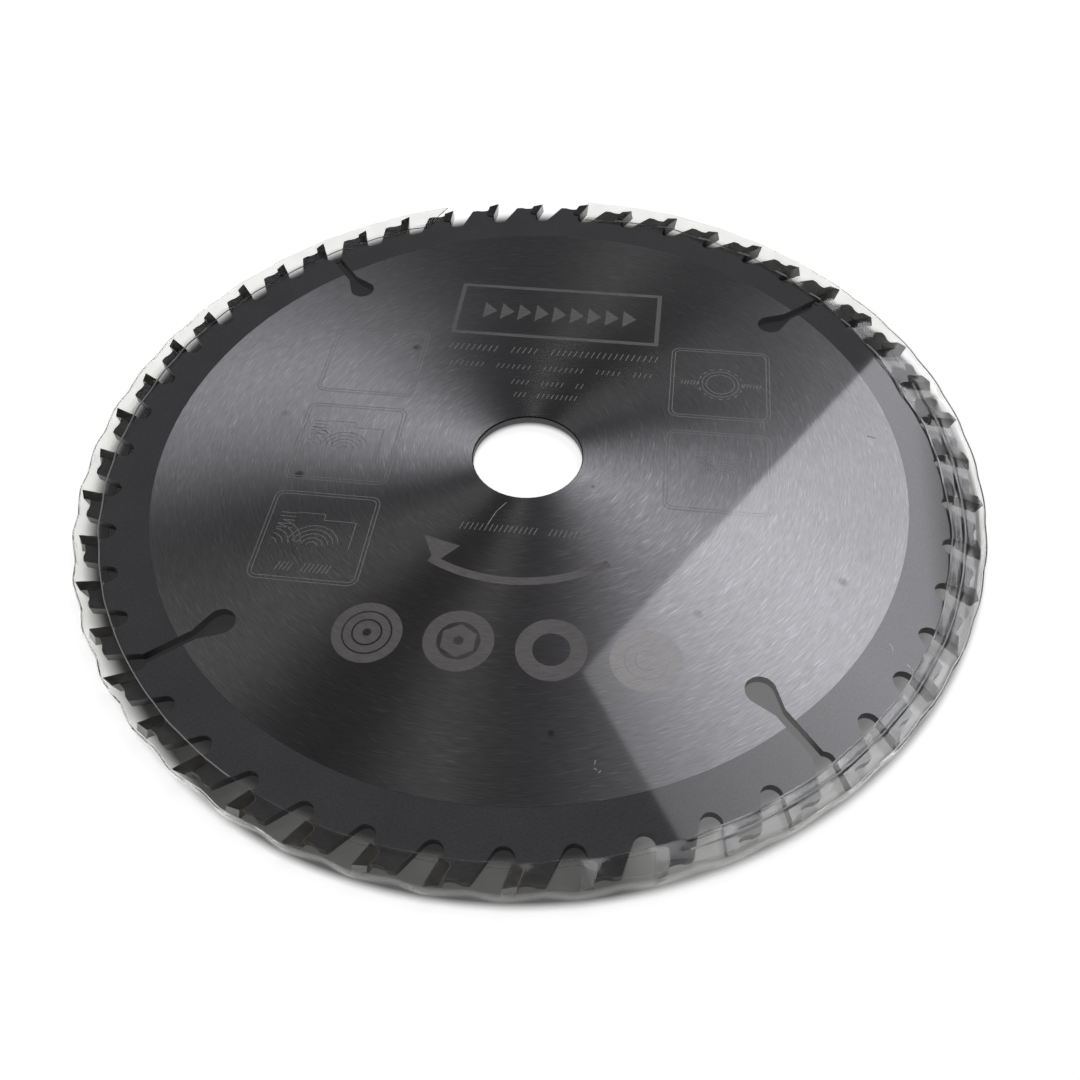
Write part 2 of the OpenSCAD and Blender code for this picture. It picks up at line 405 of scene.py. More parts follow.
def make_carbide(settings):
    """Ground carbide: dark and even, with the wheel's fine lines and a brighter rub here and there."""
    finish, tree, shader = new_finish("ground_carbide")
    spot = position_parts(tree)
    place = combine(tree, calc(tree, "MULTIPLY", spot[0], 0.25), spot[1],
                    calc(tree, "MULTIPLY", spot[2], 2.0))
    lines = grain(tree, place, 5200.0, 2.0)
    rub = grain(tree, position(tree), 420.0, 3.0)
    carbide = tuple(settings.carbide_colour)
    colour = blend_colour(tree, spread(tree, rub, 0.35, 0.7, 0.0, 1.0), shaded(carbide, 0.75),
                          shaded(carbide, 1.5, 1.0))
    feed(tree, shader.inputs["Base Color"], colour)
    shader.inputs["Metallic"].default_value = 0.3
    lacquer(shader, 0.08)
    feed(tree, shader.inputs["Roughness"], spread(tree, lines, 0.3, 0.7, 0.28, 0.42))
    bumped(tree, shader, lines, 0.006 * MM, 0.5)
    return finish


def make_braze(settings):
    finish, tree, shader = new_finish("silver_braze")
    ripple = grain(tree, position(tree), 1800.0, 3.0)
    braze = tuple(settings.braze_colour)
    colour = blend_colour(tree, spread(tree, ripple, 0.3, 0.7, 0.0, 1.0), shaded(braze, 0.6), braze)
    feed(tree, shader.inputs["Base Color"], colour)
    shader.inputs["Metallic"].default_value = 1.0
    feed(tree, shader.inputs["Roughness"], spread(tree, ripple, 0.3, 0.7, 0.35, 0.5))
    bumped(tree, shader, ripple, 0.02 * MM, 0.5)
    return finish


def make_etched(name, mark):
    """Etched steel: pale, slightly warm and without the grinding's shine."""
    finish, tree, shader = new_finish(name)
    speckle = grain(tree, position(tree), 2600.0, 3.0, 0.7)
    worn = ground_streaks(tree, (0.0, 0.0), 0.25 * MM, 2.0 * MM)
    level = calc(tree, "MULTIPLY_ADD", worn, 0.6, calc(tree, "MULTIPLY", speckle, 0.4))
    colour = blend_colour(tree, spread(tree, level, 0.35, 0.65, 0.0, 1.0), shaded(mark, 0.8),
                          shaded(mark, 1.15))
    feed(tree, shader.inputs["Base Color"], colour)
    feed(tree, shader.inputs["Roughness"], spread(tree, speckle, 0.3, 0.7, 0.55, 0.7))
    shader.inputs["Metallic"].default_value = 0.4
    shader.inputs["Specular IOR Level"].default_value = 0.2
    lacquer(shader, 0.04)
    bumped(tree, shader, speckle, 0.006 * MM, 0.3)
    return finish


def make_plastic_edge_and_highlight(settings):
    """The strip's cut edges: frosted, so they catch the light as thin pale lines. The same pale finish on the
    lip's crease and free edge is a painted highlight.
    """
    finish, tree, shader = new_finish("plastic_cut_edge_and_painted_highlight")
    frost = grain(tree, position(tree), 3000.0, 2.0)
    tint = tuple(settings.plastic_colour)
    colour = blend_colour(tree, spread(tree, frost, 0.3, 0.7, 0.0, 1.0), shaded(tint, 0.92), tint)
    feed(tree, shader.inputs["Base Color"], colour)
    feed(tree, shader.inputs["Roughness"], spread(tree, frost, 0.3, 0.7, 0.4, 0.6))
    shader.inputs["IOR"].default_value = 1.4
    shader.inputs["Transmission Weight"].default_value = 0.1
    lacquer(shader, 0.12)
    return finish


def make_clear_plastic(settings):
    """Clear soft plastic with a faint yellow tint and shallow ripples."""
    finish, tree, shader = new_finish("clear_plastic")
    ripple = grain(tree, position(tree), 240.0, 2.0)
    fine = grain(tree, position(tree), 900.0, 2.0)
    tint = tuple(settings.plastic_colour)
    colour = blend_colour(tree, spread(tree, ripple, 0.3, 0.7, 0.0, 1.0), shaded(tint, 0.97),
                          shaded(tint, 1.02, 1.0))
    feed(tree, shader.inputs["Base Color"], colour)
    feed(tree, shader.inputs["Roughness"], spread(tree, fine, 0.3, 0.7, 0.02, 0.08))
    shader.inputs["IOR"].default_value = 1.12
    shader.inputs["Transmission Weight"].default_value = 1.0
    lacquer(shader, 0.06, 0.35)
    bumped(tree, shader, calc(tree, "MULTIPLY_ADD", fine, 0.3, ripple), 0.2 * MM, 0.6)
    return finish


# Small helpers that model and place shapes.


def held(value):
    return max(0.0, min(1.0, value))


def eased(share):
    """A share from 0 to 1 that starts and ends gently."""
    return share * share * (3 - 2 * share)


def clear_selection():
    if bpy.context.object and bpy.context.object.mode != "OBJECT":
        bpy.ops.object.mode_set(mode="OBJECT")
    bpy.ops.object.select_all(action="DESELECT")


def pick(*pieces):
    clear_selection()
    for piece in pieces:
        piece.select_set(True)
    bpy.context.view_layer.objects.active = pieces[0]


def edit(piece):
    pick(piece)
    bpy.ops.object.mode_set(mode="EDIT")
    bpy.ops.mesh.reveal(select=False)
    bpy.ops.mesh.select_all(action="SELECT")


def leave_edit():
    bpy.ops.object.mode_set(mode="OBJECT")


def apply_place(piece):
    pick(piece)
    bpy.ops.object.transform_apply(location=True, rotation=True, scale=True)


def apply_all(piece):
    pick(piece)
    for modifier in list(piece.modifiers):
        bpy.ops.object.modifier_apply(modifier=modifier.name)


def joined(name, pieces):
    pick(*pieces)
    if len(pieces) > 1:
        bpy.ops.object.join()
    piece = bpy.context.object
    piece.name = name
    piece.data.name = name
    return piece


def dress(piece, finish):
    piece.data.materials.clear()
    piece.data.materials.append(finish)
    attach(piece, "root")


def on_print(x, y, z=0.0):
    """A point given in mm along the rows of the print, as a point of the disc."""
    point = Vector((x * MM, y * MM, z))
    return Matrix.Rotation(PRINT_TURN, 3, "Z") @ point


def flat_plane(x, y, width, height, turn=0.0):
    """A flat face in the print's rows, in mm."""
    clear_selection()
    bpy.ops.mesh.primitive_plane_add(size=1.0, location=on_print(x, y), rotation=(0, 0, PRINT_TURN + turn))
    made = bpy.context.object
    made.scale = (width * MM, height * MM, 1.0)
    apply_place(made)
    return made


def flat_round(x, y, radius, corners=48, turn=0.0, stretch=1.0):
    """A flat round or many-sided face in the print's rows, in mm."""
    clear_selection()
    bpy.ops.mesh.primitive_circle_add(vertices=corners, radius=radius * MM, fill_type="NGON",
                                      location=on_print(x, y), rotation=(0, 0, PRINT_TURN + turn))
    made = bpy.context.object
    made.scale = (1.0, stretch, 1.0)
    apply_place(made)
    return made


def ring_lines(piece, widths):
    """Insets a face again and again: the first width is kept as a line, the second is cut away, and so on."""
    edit(piece)
    bpy.ops.mesh.select_mode(type="FACE")
    for turn, width in enumerate(widths):
        bpy.ops.mesh.inset(thickness=width, use_even_offset=True)
        bpy.ops.mesh.select_all(action="INVERT")
        if turn % 2 == 0:
            bpy.ops.mesh.hide(unselected=False)
        else:
            bpy.ops.mesh.delete(type="FACE")
        bpy.ops.mesh.select_all(action="SELECT")
    bpy.ops.mesh.delete(type="FACE")
    bpy.ops.mesh.reveal(select=True)
    bpy.ops.mesh.select_mode(type="VERT")
    leave_edit()
    return piece


def rounded(piece, radius, segments=6):
    edit(piece)
    bpy.ops.mesh.bevel(offset=radius, offset_type="OFFSET", segments=segments, affect="VERTICES")
    leave_edit()
    return piece


def line_from_bore(inner, outer, start, sweep, steps):
    """A flat strip along a circle round the bore: an edge from the inner to the outer radius, spun."""
    clear_selection()
    bpy.ops.mesh.primitive_plane_add(size=1.0)
    made = bpy.context.object
    edit(made)
    shape = bmesh.from_edit_mesh(made.data)
    for vertex in shape.verts:
        vertex.select_set(vertex.co.y < 0)
    shape.select_flush_mode()
    bmesh.update_edit_mesh(made.data)
    bpy.ops.mesh.delete(type="VERT")
    shape = bmesh.from_edit_mesh(made.data)
    for vertex in shape.verts:
        radius = inner if vertex.co.x < 0 else outer
        vertex.co = Vector((math.cos(start), math.sin(start), 0.0)) * radius
        vertex.select_set(True)
    shape.select_flush_mode()
    bmesh.update_edit_mesh(made.data)
    bpy.ops.mesh.spin(steps=steps, angle=-sweep, center=(0, 0, 0), axis=(0, 0, 1))
    leave_edit()
    return made


def arc_line(x, y, radius, width, start, sweep, steps=14):
    """A thin arc in the print's rows, in mm and degrees."""
    made = line_from_bore((radius - width) * MM, radius * MM, math.radians(start) + PRINT_TURN,
                          math.radians(sweep), steps)
    made.location = on_print(x, y)
    apply_place(made)
    return made


def thicken_mark(piece, stand, depth):
    """Gives a flat mark its small thickness, from inside the steel to just above it."""
    edit(piece)
    bpy.ops.mesh.select_mode(type="FACE")
    bpy.ops.mesh.select_all(action="DESELECT")
    shape = bmesh.from_edit_mesh(piece.data)
    for face in shape.faces:
        face.select_set(face.normal.z < 0)
    bmesh.update_edit_mesh(piece.data)
    if any(face.select for face in shape.faces):
        bpy.ops.mesh.flip_normals()
    bpy.ops.mesh.select_mode(type="VERT")
    leave_edit()
    piece.location.z = DISC_TOP + stand
    apply_place(piece)
    solid = piece.modifiers.new("thickness", "SOLIDIFY")
    solid.thickness = depth
    solid.offset = -1.0
    apply_all(piece)


def hatch(x, y, length, height, groups, width):
    """A row of equal slanted strokes in groups, in the print's rows and in mm."""
    made = []
    gap = 2
    step = length / (sum(groups) + gap * (len(groups) - 1))
    place = x + step / 2
    for count in groups:
        for _ in range(count):
            made.append(flat_plane(place, y, width, height, turn=math.radians(-18)))
            place += step
        place += step * gap
    return made


def scratch(x_from, y_from, x_to, y_to, width):
    """A thin straight scratch between two points of the plate, in mm."""
    clear_selection()
    way = Vector((x_to - x_from, y_to - y_from, 0.0)) * MM
    middle = Vector((x_from + x_to, y_from + y_to, 0.0)) * MM / 2
    bpy.ops.mesh.primitive_plane_add(size=1.0, location=middle, rotation=(0, 0, math.atan2(way.y, way.x)))
    made = bpy.context.object
    made.scale = (way.length, width * MM, 1.0)
    apply_place(made)
    return made


# The steps, one operator each, in the order in which main() calls them.


class SAWBLADE_OT_finish_steel(bpy.types.Operator):
    """Give the plate its ground disc, matt ring and cut walls, and the tips and braze their finish"""
    bl_idname = "sawblade.finish_steel"
    bl_label = "Finish Steel"

    def execute(self, context):
        settings = context.scene.blade_finish
        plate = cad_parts["blade_plate"]
        plate.data.materials.clear()
        for finish in (make_ground_steel(settings), make_matt_ring(settings), make_cut_steel(settings)):
            plate.data.materials.append(finish)
        counts = [0, 0, 0]
        for face in plate.data.polygons:
            height = abs(face.center.z)
            flat = abs(face.normal.z) > 0.9
            kind = 2
            if flat and height > DISC_FACE_Z:
                kind = 0
            elif flat and height > RING_FACE_Z:
                kind = 1
            face.material_index = kind
            counts[kind] += 1
        if not all(counts):
            raise RuntimeError(f"the plate's faces couldn't be told apart: {counts}")
        carbide = make_carbide(settings)
        braze = make_braze(settings)
        for name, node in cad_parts.items():
            if name.startswith("tip_") or name == "braze_joints":
                node.data.materials.clear()
                node.data.materials.append(braze if name == "braze_joints" else carbide)
        return {"FINISHED"}


class SAWBLADE_OT_etch_marks(bpy.types.Operator):
    """Etch the frames, rows of strokes, rotation arrow and round marks into the disc"""
    bl_idname = "sawblade.etch_marks"
    bl_label = "Etch Marks"

    def execute(self, context):
        settings = context.scene.etched_marks
        pale = make_etched("etched_steel", tuple(settings.mark_colour))
        faint = make_etched("faintly_etched_steel", tuple(settings.faint_colour))
        bare = make_etched("scratched_steel", tuple(settings.scratch_colour))
        dark = make_etched("dark_scratched_steel", shaded(settings.mark_colour, 0.2))
        # Painted light: a lighter copy of the etched finish for the fourth round mark, which lies in the
        # window's bright reflection.
        painted_lighter_etch = make_etched("etched_steel_painted_lighter", shaded(settings.mark_colour, 1.5))
        thin = settings.thin_line / MM
        wide = settings.frame_line / MM

        banner = ring_lines(flat_plane(0.9, 40.6, 42.4, 16.2), [wide * MM])
        teeth = []
        for index in range(9):
            x = -13.6 + index * 3.62
            teeth.append(flat_round(x, 40.3, 3.0, corners=3, turn=math.radians(-90), stretch=0.62))
        marks = {"etched_banner": [banner] + teeth}

        panels = []
        for x, y in ((34.5, 22.8), (34.5, -0.2), (-33.8, 22.6), (-33.8, -0.3), (-33.8, -22.7)):
            panel = rounded(flat_plane(x, y, 19.2, 19.5), 1.8 * MM)
            panels.append(ring_lines(panel, [thin * MM, 0.5 * MM, thin * MM]))
        marks["etched_panels"] = panels

        figures = []
        for x, y, scale in ((35.0, 1.7, 0.8), (-34.6, -21.3, 1.1), (-34.8, 1.4, 1.1)):
            figures += self.board(x, y, scale, thin)
        wheel = ring_lines(flat_round(34.6, 22.7, 3.6), [thin * MM, 0.7 * MM, thin * MM])
        figures.append(wheel)
        for index in range(16):
            angle = math.tau * index / 16
            figures.append(flat_plane(34.6 + 4.2 * math.cos(angle), 22.7 + 4.2 * math.sin(angle),
                                      thin * 1.4, 0.8, turn=angle))
        marks["etched_figures"] = figures

        rows = []
        for row in ((-20.0, 28.5, 42.5, 1.9, (9, 5, 19), 0.17),
                    (-19.0, 23.6, 40.6, 1.4, (7, 7, 8, 5, 4), 0.15),
                    (-6.0, 19.3, 14.5, 1.4, (4, 5, 2), 0.15), (-5.0, 15.8, 12.6, 1.4, (3, 9), 0.15),
                    (-9.6, -17.5, 21.5, 1.6, (16, 7), 0.15), (-38.9, -29.5, 9.6, 1.9, (4, 7), 0.17),
                    (26.9, 22.7, 3.6, 1.2, (6,), 0.17), (38.9, 22.7, 3.6, 1.2, (6,), 0.17)):
            rows += hatch(*row)
        marks["etched_rows"] = rows

        marks["bright_scratches"] = [scratch(*ends, 0.13) for ends in SCRATCHES]
        marks["dark_scratch"] = [scratch(62.6, 2.4, 64.0, 1.8, 0.3)]

        shaft = line_from_bore(27.6 * MM, 29.15 * MM, math.radians(297.6), math.radians(-64), 40)
        head = flat_round(0, 0, 1.0, corners=3)
        self.shape_head(head)
        marks["etched_arrow"] = [shaft, head]

        marks["etched_rounds"] = self.round_marks()
        # The fourth round mark: printed like the others, and painted lighter for the bright reflection it
        # lies in.
        marks["round_mark_painted_lighter"] = [
            ring_lines(flat_round(24.1, -41.1, 5.7, corners=64), [2.2 * MM, 0.22 * MM, 1.4 * MM]),
            flat_round(24.1, -41.1, 1.6, corners=32)]
        finishes = {"etched_panels": faint, "etched_figures": faint, "etched_rows": faint,
                    "bright_scratches": bare, "dark_scratch": dark, "round_mark_painted_lighter": painted_lighter_etch}
        for name, pieces in marks.items():
            piece = joined(name, pieces)
            thicken_mark(piece, settings.stand, settings.stand * (6.0 if name == "bright_scratches" else 3.0))
            dress(piece, finishes.get(name, pale))
        return {"FINISHED"}

    def board(self, x, y, scale, thin):
        """A sawn board in outline: layers at its left, growth rings below and a step at its right."""
        made = []
        for layer in range(5):
            made.append(flat_plane(x - 4.6 * scale, y + (3.0 - 0.75 * layer) * scale, 2.6 * scale, thin))
        for ring in range(5):
            radius = (1.2 + 0.95 * ring) * scale
            made.append(arc_line(x - 6.2 * scale, y - 3.4 * scale, radius, thin, 8, 76))
            made.append(arc_line(x + 0.6 * scale, y - 3.4 * scale, radius * 0.85, thin, 15, 150, steps=20))
        made.append(flat_plane(x - 1.0 * scale, y + 3.2 * scale, 4.6 * scale, thin))
        made.append(flat_plane(x + 1.3 * scale, y + 2.6 * scale, thin, 1.2 * scale))
        made.append(flat_plane(x + 3.9 * scale, y + 2.0 * scale, 5.2 * scale, thin))
        made.append(flat_plane(x + 6.5 * scale, y - 0.7 * scale, thin, 5.4 * scale))
        return made

    def shape_head(self, head):
        """Moves the three corners of the arrow head to their places on the disc."""
        edit(head)
        shape = bmesh.from_edit_mesh(head.data)
        for vertex, (x, y) in zip(shape.verts, ((-18.0, -17.8), (-11.8, -20.5), (-16.1, -24.0))):
            vertex.co = Vector((x * MM, y * MM, 0.004 * MM))
        bmesh.update_edit_mesh(head.data)
        leave_edit()

    def round_marks(self):
        """Three pale discs, each with a plain figure left bare in it."""
        rounds = []
        for x, y, radius, corners, widths in (
                (-20.4, -40.9, 5.7, 64, (1.6, 0.28, 1.3)), (-20.4, -40.9, 2.2, 40, (1.5,)),
                (-5.6, -40.8, 5.7, 64, (2.2,)), (-5.6, -40.8, 3.1, 6, (1.9,)), (9.2, -40.8, 5.7, 64, (2.7,))):
            rounds.append(ring_lines(flat_round(x, y, radius, corners), [width * MM for width in widths]))
        return rounds


class SAWBLADE_OT_fit_guard(bpy.types.Operator):
    """Draw the clear strip round the toothed rim and drape its upper lip"""
    bl_idname = "sawblade.fit_guard"
    bl_label = "Fit Tooth Guard"

    def execute(self, context):
        settings = context.scene.tooth_guard
        guard = self.strip(settings)
        self.drape(guard, settings)
        solid = guard.modifiers.new("wall", "SOLIDIFY")
        solid.thickness = settings.wall
        solid.offset = 0.0
        solid.use_even_offset = False
        solid.material_offset_rim = 1
        guard.data.materials.append(make_clear_plastic(settings))
        guard.data.materials.append(make_plastic_edge_and_highlight(settings))
        apply_all(guard)
        edit(guard)
        bpy.ops.mesh.normals_make_consistent(inside=False)
        leave_edit()
        pick(guard)
        bpy.ops.object.shade_smooth_by_angle(angle=math.radians(50))
        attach(guard, "root")
        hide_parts("tooth_guard")
        return {"FINISHED"}

    def middle(self, settings):
        """Radius of the outer wall's middle, and height of the upper lip's middle."""
        return GUARD_RADIUS - GUARD_HUG - settings.wall / 2, GUARD_TOP - settings.wall / 2

    def strip(self, settings):
        """The section's middle line, drawn from lip to lip and spun round the blade."""
        outer, top = self.middle(settings)
        corner = 0.35 * MM
        heel = 0.7 * MM
        line = [(LIP_DRAWN_TO + (outer - corner - LIP_DRAWN_TO) * step / 26, top) for step in range(27)]
        line += [(outer - corner * 0.3, top - corner * 0.3), (outer, top - corner), (outer, 0.0)]
        for step in range(5):
            turn = math.radians(22.5 * step)
            line.append((outer - heel + heel * math.cos(turn), heel - top - heel * math.sin(turn)))
        flat = outer - heel - settings.lower_lip
        line += [(outer - heel - flat * step / 5, -top) for step in range(1, 6)]
        clear_selection()
        bpy.ops.mesh.primitive_plane_add(size=1.0)
        guard = bpy.context.object
        guard.name = "clear_tooth_guard"
        guard.data.name = "clear_tooth_guard"
        edit(guard)
        shape = bmesh.from_edit_mesh(guard.data)
        corners = list(shape.verts)
        for vertex in corners:
            vertex.select_set(vertex is not corners[0])
        shape.select_flush_mode()
        bmesh.update_edit_mesh(guard.data)
        bpy.ops.mesh.delete(type="VERT")
        shape = bmesh.from_edit_mesh(guard.data)
        first = next(iter(shape.verts))
        turn = settings.start_angle
        across = Vector((math.cos(turn), math.sin(turn), 0.0))
        first.co = across * line[0][0] + Vector((0, 0, line[0][1]))
        first.select_set(True)
        bmesh.update_edit_mesh(guard.data)
        for before, after in zip(line, line[1:]):
            move = across * (after[0] - before[0]) + Vector((0, 0, after[1] - before[1]))
            bpy.ops.mesh.extrude_region_move(TRANSFORM_OT_translate={"value": move})
        bpy.ops.mesh.select_all(action="SELECT")
        sweep = settings.end_angle - settings.start_angle
        steps = int(math.degrees(sweep) / 0.75)
        bpy.ops.mesh.spin(steps=steps, angle=-sweep, center=(0, 0, 0), axis=(0, 0, 1))
        leave_edit()
        return guard

    def lip_edge(self, angle):
        """Radius in metres of the upper lip's free edge at an angle in degrees, 79 to 439."""
        for (low, near), (high, far) in zip(LIP_EDGE, LIP_EDGE[1:]):
            if angle <= high:
                share = eased((angle - low) / (high - low))
                return (near + (far - near) * share) * MM
        return LIP_EDGE[-1][1] * MM

    def drape(self, guard, settings):
        """Pulls the upper lip out to its measured edge and lets it sink between the teeth."""
        outer, top = self.middle(settings)
        # Painted highlight: the pale edge finish also goes on the crease band and on the lip's free edge, at
        # the angles where these show as thin bright lines.
        for face in guard.data.polygons:
            x, y, z = face.center
            angle = math.degrees(math.atan2(y, x)) % 360
            share = (outer - math.hypot(x, y)) / (outer - LIP_DRAWN_TO)
            folded = abs(share - CREASE_SHARE) < CREASE_HALF_WIDTH and (angle > 286 or angle < 6)
            over_tip = angle < 100 and 0.0 < (angle - TIP_ANGLE) % TIP_PITCH < 2.6
            free_edge = share > 0.97 and (angle > 286 or angle < 10 or 150 < angle < 235 or over_tip)
            if z > top * 0.5 and (folded or free_edge):
                face.material_index = 1
        for vertex in guard.data.vertices:
            x, y, z = vertex.co
            radius = math.hypot(x, y)
            angle = math.degrees(math.atan2(y, x)) % 360
            if angle < math.degrees(settings.start_angle) - 0.01:
                angle += 360
            if z > top * 0.5 and radius < outer - 0.3 * MM:
                share = (outer - radius) / (outer - LIP_DRAWN_TO)
                edge = self.lip_edge(angle)
                wave = 0.22 * MM * noise.noise(Vector((math.cos(math.radians(angle)) * 14,
                                                       math.sin(math.radians(angle)) * 14, 0.0)))
                radius = outer - share * (outer - edge - wave)
                between = 0.5 - 0.5 * math.cos(math.radians((angle - TIP_ANGLE) * TIP_COUNT))
                inward = eased(held((78.5 * MM - radius) / (3.0 * MM)))
                slack = 0.5 + 0.5 * noise.noise(Vector((math.cos(math.radians(angle)) * 6,
                                                        math.sin(math.radians(angle)) * 6, 3.0)))
                low = settings.sag * between * inward * (0.5 + slack)
                low += self.crease(angle, radius, share)
                if radius < 75.2 * MM:
                    low += min(0.25 * MM, (75.2 * MM - radius) * 0.18)
                z -= min(low, 0.62 * MM)
            radius -= self.tuck(angle, radius, settings)
            turn = math.radians(angle) + self.end_slant(angle, radius, settings)
            vertex.co = Vector((math.cos(turn) * radius, math.sin(turn) * radius, z))

    def tuck(self, angle, radius, settings):
        """How far the wall draws in behind each tip, up to the next one, and most so at the front left."""
        past = (angle - TIP_ANGLE) % TIP_PITCH
        share = min(past / SLACK_AT, (TIP_PITCH - past) / (TIP_PITCH - SLACK_AT))
        slack = settings.slack * (0.45 + 0.55 * max(0.0, math.cos(math.radians(angle - LOOSEST_AT))))
        near_wall = held((radius - 77.0 * MM) / (2.5 * MM))
        return max(0.0, slack * share - 0.07 * MM) * near_wall

    def crease(self, angle, radius, share):
        """On the right the lip is folded along a line beside its edge, and it is kinked in two places."""
        low = 0.1 * MM * min(1.0, max(0.0, (80.0 * MM - radius) / (0.6 * MM)))
        if 285 < angle < 380:
            along = min(1.0, (angle - 285) / 15, (380 - angle) / 8)
            off = (share - CREASE_SHARE) / 0.05
            low -= 0.1 * MM * along * math.exp(-off * off)
        for kink in (323.5, 369.0):
            off = (angle - kink) / 0.8
            if abs(off) < 4 and radius < 79.5 * MM:
                low += 0.18 * MM * math.exp(-off * off) * min(1.0, (79.5 * MM - radius) / (1.5 * MM))
        return low

    def end_slant(self, angle, radius, settings):
        """The strip's beginning is cut at a slant: its lips start later than its outer wall."""
        past = angle - math.degrees(settings.start_angle)
        if past > 9.0:
            return 0.0
        inward = (GUARD_RADIUS - radius) / (7.0 * MM)
        return math.radians((5.5 * inward - 2.0) * (1.0 - past / 9.0))


